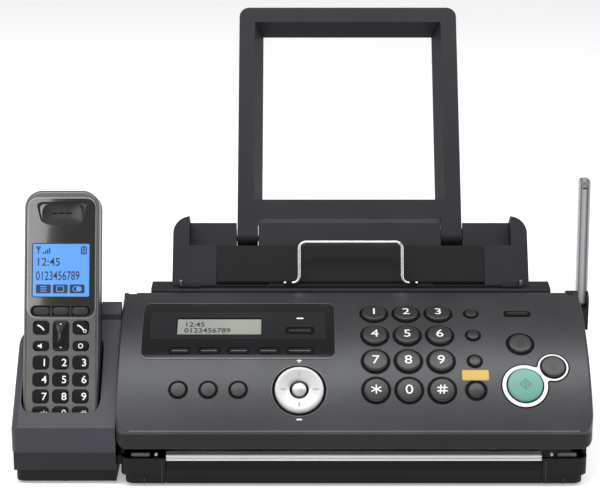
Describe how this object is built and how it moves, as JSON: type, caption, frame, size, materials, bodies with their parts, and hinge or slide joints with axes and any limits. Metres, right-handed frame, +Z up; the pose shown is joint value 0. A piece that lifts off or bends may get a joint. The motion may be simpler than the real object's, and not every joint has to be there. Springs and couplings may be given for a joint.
{
  "type": "fax machine",
  "caption": "Plain-paper fax machine with a curved hinged control panel, leaning paper tray, side cradle with a cordless handset, document guides and a folding antenna.",
  "frame": {"origin": "middle of the footprint of the whole object's bounding box, on the desk", "axes": "+Z up, the front with the panel faces -Y, +X to the right of someone facing the front"},
  "size_m": [0.3754, 0.2652, 0.2578],
  "materials": {
    "panel_charcoal": "fine-grained charcoal moulding with a faint metallic flake",
    "body_black": "satin dark grey moulding",
    "key_grey": "satin grey keytop",
    "start_green": "glossy green keytop",
    "stop_red": "satin grey keytop",
    "ring_silver": "silver painted ring",
    "gloss_black": "glossy black window",
    "lcd": "grey-green liquid crystal cell",
    "board_green": "solder-masked circuit board",
    "inner_grey": "plain grey inner moulding",
    "light_grey": "pale grey moulding",
    "wire_steel": "plated spring wire",
    "roller_rubber": "ground rubber",
    "film_black": "thermal transfer film",
    "heatsink": "extruded aluminium",
    "smoke_clear": "smoke translucent plastic",
    "handset_silver": "metallic grey moulding",
    "foot_rubber": "soft rubber"
  },
  "bodies": {
    "base": {"bottom_chassis": "body_black", "exit_cover": "body_black", "exit_ledge": "light_grey", "rear_housing": "body_black", "rubber_feet": "foot_rubber", "thermal_head": "heatsink", "drive_gearbox": "inner_grey", "main_board": "board_green", "cradle_housing": "body_black", "cradle_base": "body_black"},
    "cover": {"front_cover": "panel_charcoal", "display_window": "gloss_black", "display_lcd": "lcd", "panel_board": "board_green", "image_sensor": "inner_grey"},
    "tray": {"paper_tray": "body_black"},
    "handset": {"handset_front": "handset_silver", "handset_back": "body_black", "handset_window": "gloss_black", "handset_keypad": "key_grey"},
    "antenna": {"antenna_blade": "smoke_clear"},
    "guide_left": {"document_guide_left": "light_grey"},
    "guide_right": {"document_guide_right": "light_grey"},
    "wire": {"document_wire": "wire_steel"},
    "tension": {"tension_plate": "body_black"},
    "platen": {"platen_roller": "roller_rubber"},
    "feed": {"document_roller": "roller_rubber"},
    "takeup": {"film_takeup_roll": "film_black"},
    "supply": {"film_supply_roll": "film_black"},
    "navigation": {"navigation_ring": "ring_silver"},
    "dial_key_star": {"dial_key_star": "key_grey"},
    "dial_key_0": {"dial_key_0": "key_grey"},
    "dial_key_hash": {"dial_key_hash": "key_grey"},
    "dial_key_7": {"dial_key_7": "key_grey"},
    "dial_key_8": {"dial_key_8": "key_grey"},
    "dial_key_9": {"dial_key_9": "key_grey"},
    "dial_key_4": {"dial_key_4": "key_grey"},
    "dial_key_5": {"dial_key_5": "key_grey"},
    "dial_key_6": {"dial_key_6": "key_grey"},
    "dial_key_1": {"dial_key_1": "key_grey"},
    "dial_key_2": {"dial_key_2": "key_grey"},
    "dial_key_3": {"dial_key_3": "key_grey"},
    "speakerphone_key": {"speakerphone_key": "key_grey"},
    "mute_key": {"mute_key": "key_grey"},
    "flash_key": {"flash_key": "key_grey"},
    "redial_key": {"redial_key": "key_grey"},
    "caller_list_key": {"caller_list_key": "key_grey"},
    "stop_key": {"stop_key": "stop_red"},
    "copy_key": {"copy_key": "key_grey"},
    "start_key": {"start_key": "start_green"},
    "record_key": {"record_key": "key_grey"},
    "check_key": {"check_key": "key_grey"},
    "memo_key": {"memo_key": "key_grey"},
    "erase_key": {"erase_key": "key_grey"},
    "playback_key": {"playback_key": "key_grey"},
    "auto_answer_key": {"auto_answer_key": "key_grey"},
    "locator_key": {"locator_key": "key_grey"},
    "report_key": {"report_key": "key_grey"},
    "menu_key": {"menu_key": "key_grey"},
    "set_key": {"set_key": "key_grey"}
  },
  "joints": [
    {"name": "cover_hinge", "type": "hinge", "parent": "base", "child": "cover", "pos_m": [0.02825, -0.03683, 0.09031], "axis": [-1, 0, 0], "range_deg": [0, 60]},
    {"name": "tray_hinge", "type": "hinge", "parent": "base", "child": "tray", "pos_m": [0.02825, 0.02557, 0.11561], "axis": [1, 0, 0], "range_deg": [0, 36]},
    {"name": "handset_lift", "type": "slide", "parent": "base", "child": "handset", "axis": [0, 0.3746, 0.9272], "range_m": [0, 0.075]},
    {"name": "antenna_hinge", "type": "hinge", "parent": "base", "child": "antenna", "pos_m": [0.1833, -0.01763, 0.085], "axis": [-1, 0, 0], "range_deg": [0, 84]},
    {"name": "guide_left_slide", "type": "slide", "parent": "base", "child": "guide_left", "axis": [1, 0, 0], "range_m": [0, 0.044]},
    {"name": "guide_right_slide", "type": "slide", "parent": "base", "child": "guide_right", "axis": [-1, 0, 0], "range_m": [0, 0.044]},
    {"name": "wire_hinge", "type": "hinge", "parent": "base", "child": "wire", "pos_m": [0.02825, -0.02013, 0.0988], "axis": [1, 0, 0], "range_deg": [0, 40]},
    {"name": "tension_hinge", "type": "hinge", "parent": "base", "child": "tension", "pos_m": [0.02825, -0.01114, 0.09655], "axis": [1, 0, 0], "range_deg": [0, 12]},
    {"name": "platen_spin", "type": "hinge", "parent": "base", "child": "platen", "pos_m": [0.02825, -0.10756, 0.0324], "axis": [1, 0, 0], "continuous": true},
    {"name": "takeup_spin", "type": "hinge", "parent": "base", "child": "takeup", "pos_m": [0.02825, -0.08456, 0.03], "axis": [1, 0, 0], "continuous": true},
    {"name": "supply_spin", "type": "hinge", "parent": "base", "child": "supply", "pos_m": [0.02825, -0.05656, 0.036], "axis": [1, 0, 0], "continuous": true},
    {"name": "feed_spin", "type": "hinge", "parent": "base", "child": "feed", "pos_m": [0.02825, -0.04456, 0.066], "axis": [1, 0, 0], "continuous": true},
    {"name": "dial_key_star_press", "type": "slide", "parent": "cover", "child": "dial_key_star", "axis": [0, 0.7148, -0.6994], "range_m": [0, 0.0012], "stiffness_N_per_m": 400},
    {"name": "dial_key_0_press", "type": "slide", "parent": "cover", "child": "dial_key_0", "axis": [0, 0.7148, -0.6994], "range_m": [0, 0.0012], "stiffness_N_per_m": 400},
    {"name": "dial_key_hash_press", "type": "slide", "parent": "cover", "child": "dial_key_hash", "axis": [0, 0.7148, -0.6994], "range_m": [0, 0.0012], "stiffness_N_per_m": 400},
    {"name": "dial_key_7_press", "type": "slide", "parent": "cover", "child": "dial_key_7", "axis": [0, 0.5891, -0.8081], "range_m": [0, 0.0012], "stiffness_N_per_m": 400},
    {"name": "dial_key_8_press", "type": "slide", "parent": "cover", "child": "dial_key_8", "axis": [0, 0.5891, -0.8081], "range_m": [0, 0.0012], "stiffness_N_per_m": 400},
    {"name": "dial_key_9_press", "type": "slide", "parent": "cover", "child": "dial_key_9", "axis": [0, 0.5891, -0.8081], "range_m": [0, 0.0012], "stiffness_N_per_m": 400},
    {"name": "dial_key_4_press", "type": "slide", "parent": "cover", "child": "dial_key_4", "axis": [0, 0.4471, -0.8945], "range_m": [0, 0.0012], "stiffness_N_per_m": 400},
    {"name": "dial_key_5_press", "type": "slide", "parent": "cover", "child": "dial_key_5", "axis": [0, 0.4471, -0.8945], "range_m": [0, 0.0012], "stiffness_N_per_m": 400},
    {"name": "dial_key_6_press", "type": "slide", "parent": "cover", "child": "dial_key_6", "axis": [0, 0.4471, -0.8945], "range_m": [0, 0.0012], "stiffness_N_per_m": 400},
    {"name": "dial_key_1_press", "type": "slide", "parent": "cover", "child": "dial_key_1", "axis": [0, 0.2927, -0.9562], "range_m": [0, 0.0012], "stiffness_N_per_m": 400},
    {"name": "dial_key_2_press", "type": "slide", "parent": "cover", "child": "dial_key_2", "axis": [0, 0.2927, -0.9562], "range_m": [0, 0.0012], "stiffness_N_per_m": 400},
    {"name": "dial_key_3_press", "type": "slide", "parent": "cover", "child": "dial_key_3", "axis": [0, 0.2927, -0.9562], "range_m": [0, 0.0012], "stiffness_N_per_m": 400},
    {"name": "speakerphone_key_press", "type": "slide", "parent": "cover", "child": "speakerphone_key", "axis": [0, 0.7148, -0.6994], "range_m": [0, 0.0012], "stiffness_N_per_m": 400},
    {"name": "mute_key_press", "type": "slide", "parent": "cover", "child": "mute_key", "axis": [0, 0.5891, -0.8081], "range_m": [0, 0.0012], "stiffness_N_per_m": 400},
    {"name": "flash_key_press", "type": "slide", "parent": "cover", "child": "flash_key", "axis": [0, 0.4471, -0.8945], "range_m": [0, 0.0012], "stiffness_N_per_m": 400},
    {"name": "redial_key_press", "type": "slide", "parent": "cover", "child": "redial_key", "axis": [0, 0.2927, -0.9562], "range_m": [0, 0.0012], "stiffness_N_per_m": 400},
    {"name": "caller_list_key_press", "type": "slide", "parent": "cover", "child": "caller_list_key", "axis": [0, 0.2927, -0.9562], "range_m": [0, 0.0012], "stiffness_N_per_m": 300},
    {"name": "stop_key_press", "type": "slide", "parent": "cover", "child": "stop_key", "axis": [0, 0.4971, -0.8677], "range_m": [0, 0.0012], "stiffness_N_per_m": 400},
    {"name": "copy_key_press", "type": "slide", "parent": "cover", "child": "copy_key", "axis": [0, 0.6184, -0.7859], "range_m": [0, 0.0012], "stiffness_N_per_m": 400},
    {"name": "start_key_press", "type": "slide", "parent": "cover", "child": "start_key", "axis": [0, 0.6961, -0.718], "range_m": [0, 0.0012], "stiffness_N_per_m": 400},
    {"name": "record_key_press", "type": "slide", "parent": "cover", "child": "record_key", "axis": [0, 0.5375, -0.8433], "range_m": [0, 0.0012], "stiffness_N_per_m": 300},
    {"name": "check_key_press", "type": "slide", "parent": "cover", "child": "check_key", "axis": [0, 0.5375, -0.8433], "range_m": [0, 0.0012], "stiffness_N_per_m": 300},
    {"name": "memo_key_press", "type": "slide", "parent": "cover", "child": "memo_key", "axis": [0, 0.5375, -0.8433], "range_m": [0, 0.0012], "stiffness_N_per_m": 300},
    {"name": "erase_key_press", "type": "slide", "parent": "cover", "child": "erase_key", "axis": [0, 0.5375, -0.8433], "range_m": [0, 0.0012], "stiffness_N_per_m": 300},
    {"name": "playback_key_press", "type": "slide", "parent": "cover", "child": "playback_key", "axis": [0, 0.5375, -0.8433], "range_m": [0, 0.0012], "stiffness_N_per_m": 300},
    {"name": "auto_answer_key_press", "type": "slide", "parent": "cover", "child": "auto_answer_key", "axis": [0, 0.4182, -0.9083], "range_m": [0, 0.0012], "stiffness_N_per_m": 300},
    {"name": "locator_key_press", "type": "slide", "parent": "cover", "child": "locator_key", "axis": [0, 0.7125, -0.7016], "range_m": [0, 0.0012], "stiffness_N_per_m": 400},
    {"name": "report_key_press", "type": "slide", "parent": "cover", "child": "report_key", "axis": [0, 0.7125, -0.7016], "range_m": [0, 0.0012], "stiffness_N_per_m": 400},
    {"name": "menu_key_press", "type": "slide", "parent": "cover", "child": "menu_key", "axis": [0, 0.7125, -0.7016], "range_m": [0, 0.0012], "stiffness_N_per_m": 400},
    {"name": "set_key_press", "type": "slide", "parent": "cover", "child": "set_key", "axis": [0, 0.7125, -0.7016], "range_m": [0, 0.0012], "stiffness_N_per_m": 400},
    {"name": "navigation_rock", "type": "hinge", "parent": "cover", "child": "navigation", "pos_m": [-0.00625, -0.11277, 0.05766], "axis": [1, 0, 0], "range_deg": [-3, 3], "stiffness_Nm_per_rad": 0.06}
  ],
  "couplings": [
    {"joint": "guide_right_slide", "follows": "guide_left_slide", "ratio": 1},
    {"joint": "takeup_spin", "follows": "platen_spin", "ratio": 0.81818},
    {"joint": "supply_spin", "follows": "platen_spin", "ratio": 0.6}
  ]
}
